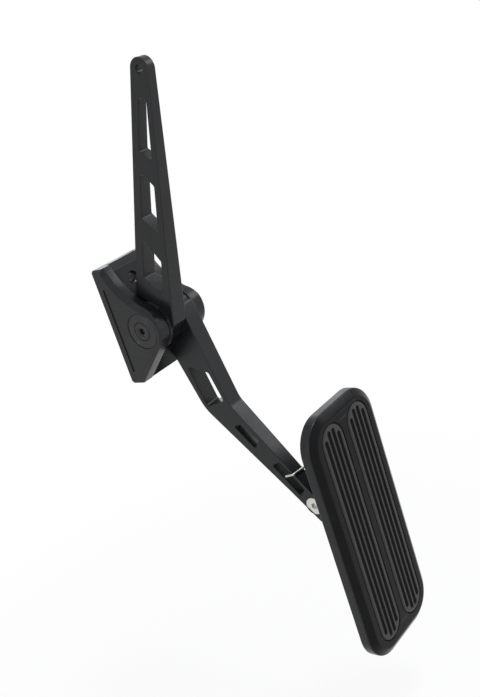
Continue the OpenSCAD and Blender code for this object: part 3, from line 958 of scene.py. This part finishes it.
def make_pad():
    edge, bevel = (0, PAD_EDGE), (PAD_BEVEL, PAD_T)
    profile = BACK_RIM + blend_corner((PAD_BEVEL, 0), (0, 0), edge, BACK_ROUND, 4)
    profile += [(0, EDGE_LAND), (0, PAD_EDGE - EDGE_LAND)]
    profile += blend_corner((0, 0), edge, bevel, EDGE_ROUND, 6)
    profile += blend_corner(edge, bevel, (2 * PAD_BEVEL, PAD_T), BEVEL_ROUND, 6)
    profile += [(PAD_BEVEL + BORDER_LAND, PAD_T)]
    pockets = []
    for s in (-1, 1):
        middle = (s * INSERT_SIDE, INSERT_UP)
        line = stadium(INSERT_W + 2 * FIT, INSERT_L + 2 * FIT, middle, 40)
        pockets.append(sunk(line, PAD_T, POCKET_MOUTH + [(0, INSERT_SINK)]))
    bm = solid([(pad_ring(d), h) for d, h in profile], pockets=pockets, place=on_pad)
    shell = piece("pad_shell", bm, "pad", anodised_front_shade, ["pad_plate"])
    # The front faces keep a darker copy of the anodised finish, painted shade; the sloped border
    # and the edge get the plain finish
    second_material(shell, anodised, lambda face: face.normal.y > BORDER_TURN)


def make_inserts():
    low, high = PAD_T - INSERT_SINK, PAD_T + INSERT_PROUD
    valley_y = on_pad(0, 0, high - VALLEY_FROM).y
    for s, name in ((-1, "left"), (1, "right")):
        line = stadium(INSERT_W, INSERT_L, (s * INSERT_SIDE, INSERT_UP), 40)
        outer = [(line, low)] + sunk(line, high, INSERT_SHOULDER)
        pockets = []
        for k in range(RIB_CUTS):
            off = (k - (RIB_CUTS - 1) / 2) * RIB_GAP
            reach = (RIB_REACH ** 2 - off ** 2) ** 0.5
            groove = stadium(RIB_CUT, INSERT_L - INSERT_W + 2 * reach + RIB_CUT,
                             (s * INSERT_SIDE + off, INSERT_UP), 12)
            pockets.append(sunk(groove, high, RIB_VALLEY))
        bm = solid(outer, pockets=pockets, place=on_pad)
        strip = piece("rib_insert_" + name, bm, "pad", rubber,
                      ["insert_" + name])
        # The grooves' deep, front-turned faces get the darker rubber: painted shade
        second_material(strip, rubber_groove_shade, lambda face: face.center.y > valley_y
                        and face.normal.y < VALLEY_TURN)


make_pad()
make_inserts()


# Spring

def tube(path, r):
    """Round wire along points in millimetres of the frame, with rounded ends."""
    bm = bmesh.new()
    rings = []
    normal = (path[1] - path[0]).normalized().orthogonal().normalized()
    for i, p in enumerate(path):
        a, b = path[max(0, i - 1)], path[min(len(path) - 1, i + 1)]
        along = (b - a).normalized()
        normal = (normal - along * normal.dot(along)).normalized()
        other = along.cross(normal)
        sizes = [(0.0, 1.0)]
        if i == 0:
            sizes = WIRE_END
        if i == len(path) - 1:
            sizes = [(-shift, share) for shift, share in WIRE_END[::-1]]
        for shift, share in sizes:
            middle = p + along * shift * r
            turns = [2 * pi * k / WIRE_SIDES for k in range(WIRE_SIDES)]
            rings.append([bm.verts.new(
                (middle + (normal * cos(k) + other * sin(k)) * r * share) * MM) for k in turns])
    wall(bm, rings)
    bm.faces.new(rings[0][::-1])
    bm.faces.new(rings[-1])
    bmesh.ops.recalc_face_normals(bm, faces=bm.faces)
    return bm


def smooth_path(corners, radius, n=6):
    """Path through the corners, each inner one rounded, with no long gap between points."""
    pts = [Vector(c) for c in corners]
    out = [pts[0]]
    for a, b, c in zip(pts, pts[1:], pts[2:]):
        u, w = (a - b).normalized(), (c - b).normalized()
        half = acos(max(-1.0, min(1.0, u.dot(w)))) / 2
        back = min(radius / tan(half), (a - b).length * 0.45, (c - b).length * 0.45)
        s, e = b + u * back, b + w * back
        for i in range(n + 1):
            t = i / n
            out.append(s * (1 - t) ** 2 + b * 2 * t * (1 - t) + e * t * t)
    out.append(pts[-1])
    dense = [out[0]]
    for p, q in zip(out, out[1:]):
        count = max(1, ceil((q - p).length / PATH_STEP))
        dense += [p + (q - p) * k / count for k in range(1, count + 1)]
    return dense


def tangent_turn(p, way):
    """Angle on the coil where a straight wire from p meets it; way says on which side."""
    d = Vector((p[0] - TOE[0], p[1] - TOE[1]))
    return degrees(atan2(d.y, d.x)) + way * degrees(acos(COIL_R / d.length))


def in_frame(x, p):
    return (x, p[0] - PIVOT_OUT, p[1] - PIVOT_DROP)


def make_spring():
    start = tangent_turn(HOOK, -1)
    end = tangent_turn(SPRING_END, 1) - COIL_TURN
    first_x = TOE_FACE + TOE_T + WIRE_D / 2 + COIL_GAPS[0]
    last_x = LUG_X - WIRE_D / 2 - COIL_GAPS[1]
    coil = []
    for i in range(COIL_STEPS + 1):
        turn = start + (end - start) * i / COIL_STEPS
        x = first_x + (last_x - first_x) * i / COIL_STEPS
        coil.append(Vector(in_frame(x, polar(turn, COIL_R, TOE))))
    grip = [in_frame(GRIP_X, p) for p in GRIP]
    lead = smooth_path(grip + [in_frame(HOOK_X, HOOK), coil[0]], HOOK_BEND)
    tail = smooth_path([coil[-1], in_frame(last_x, SPRING_END)], HOOK_BEND)
    wire = tube(lead[:-1] + coil, WIRE_D / 2)
    piece("torsion_spring", wire, "arms", wire_steel, ["pad_spring"],
          WIRE_SHARP)
    # The leg turns with the pad about the coil's axis, and its start stays inside the coil
    leg = tube(coil[-LEG_OVERLAP:] + tail[1:], WIRE_D / 2 * LEG_SHARE)
    piece("spring_leg", leg, "pad", wire_steel, sharp=WIRE_SHARP)


make_spring()


# Finishes of the CAD nodes that show as they are

KEPT = {
    "pivot_shaft": steel, "washer_left": washer_grey, "washer_right": washer_grey,
    "hub_bush": bronze, "arm_dowels": steel, "pad_lug": anodised, "lug_screws": screw_black,
    "pad_pivot_screw": bright, "pad_pivot_sleeve": steel, "lug_washer": steel,
    "pad_pivot_nut": bright,
}
for name, material in KEPT.items():
    mesh = nodes[name].data
    mesh.materials.clear()
    mesh.materials.append(material)


# Camera, floor and light

def make_camera():
    data = bpy.data.cameras.new("camera")
    data.lens = LENS
    data.sensor_width = SENSOR_W
    data.clip_start, data.clip_end = CLIP
    right = Vector(CAMERA_RIGHT)
    ahead = right.cross(Vector(CAMERA_UP)).normalized() * -1
    up = right.cross(ahead).normalized()
    turn = Matrix((right.normalized(), up, -ahead)).transposed()
    camera = linked("camera", data)
    camera.matrix_world = Matrix.Translation(CAMERA_AT) @ turn.to_4x4()
    bpy.context.scene.camera = camera


def is_background_ray(tree):
    """1 for camera, glossy and transmission rays."""
    path = tree.nodes.new("ShaderNodeLightPath")
    total = path.outputs["Is Camera Ray"]
    for name in ("Is Glossy Ray", "Is Transmission Ray"):
        total = combined(tree, "MAXIMUM", total, path.outputs[name])
    return total


def mix_shaders(tree, factor, a, b, surface):
    mix = tree.nodes.new("ShaderNodeMixShader")
    tree.links.new(factor, mix.inputs["Fac"])
    tree.links.new(a, mix.inputs[1])
    tree.links.new(b, mix.inputs[2])
    tree.links.new(mix.outputs["Shader"], surface)


def make_floor():
    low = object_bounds()[0]
    bm = bmesh.new()
    z = low.z - FLOOR_DROP
    bm.faces.new([bm.verts.new((sx * FLOOR_HALF, sy * FLOOR_HALF, z))
                  for sx, sy in ((-1, -1), (1, -1), (1, 1), (-1, 1))])
    floor = linked("floor", mesh_from("floor", bm))
    m, tree, shader = new_material("floor")
    shader.inputs["Base Color"].default_value = FLOOR_GREY
    shader.inputs["Roughness"].default_value = FLOOR_ROUGH
    glow = tree.nodes.new("ShaderNodeEmission")
    glow.inputs["Color"].default_value = WHITE
    glow.inputs["Strength"].default_value = 1.0
    # The floor shows its shading only near the object, and is plain white further out
    away = tree.nodes.new("ShaderNodeVectorMath")
    away.operation = "LENGTH"
    tree.links.new(tree.nodes.new("ShaderNodeTexCoord").outputs["Object"], away.inputs[0])
    white = spread(tree, away.outputs["Value"], NEAR_WHITE, 1.0, NEAR, FAR)
    share = combined(tree, "MULTIPLY", is_background_ray(tree), white)
    output = next(n for n in tree.nodes if n.type == "OUTPUT_MATERIAL")
    mix_shaders(tree, share, shader.outputs["BSDF"], glow.outputs["Emission"],
                output.inputs["Surface"])
    floor.data.materials.append(m)


def background(tree, strength):
    node = tree.nodes.new("ShaderNodeBackground")
    node.inputs["Color"].default_value = WHITE
    node.inputs["Strength"].default_value = strength
    return node.outputs["Background"]


def make_world():
    world = bpy.data.worlds.new("studio")
    bpy.context.scene.world = world
    world.use_nodes = True
    tree = world.node_tree
    tree.nodes.clear()
    output = tree.nodes.new("ShaderNodeOutputWorld")
    mix_shaders(tree, is_background_ray(tree), background(tree, WORLD_LIGHT),
                background(tree, 1.0), output.inputs["Surface"])


def lamp(name, at, aim, size, power):
    data = bpy.data.lights.new(name, "AREA")
    data.shape = "SQUARE"
    data.size = size
    data.energy = power
    data.color = COOL
    obj = linked(name, data)
    obj.location = at
    obj.rotation_euler = (Vector(aim) - Vector(at)).to_track_quat("-Z", "Y").to_euler()


make_camera()
make_floor()
make_world()
for row in LAMPS:
    lamp(*row)

bpy.context.scene.view_settings.view_transform = "Standard"
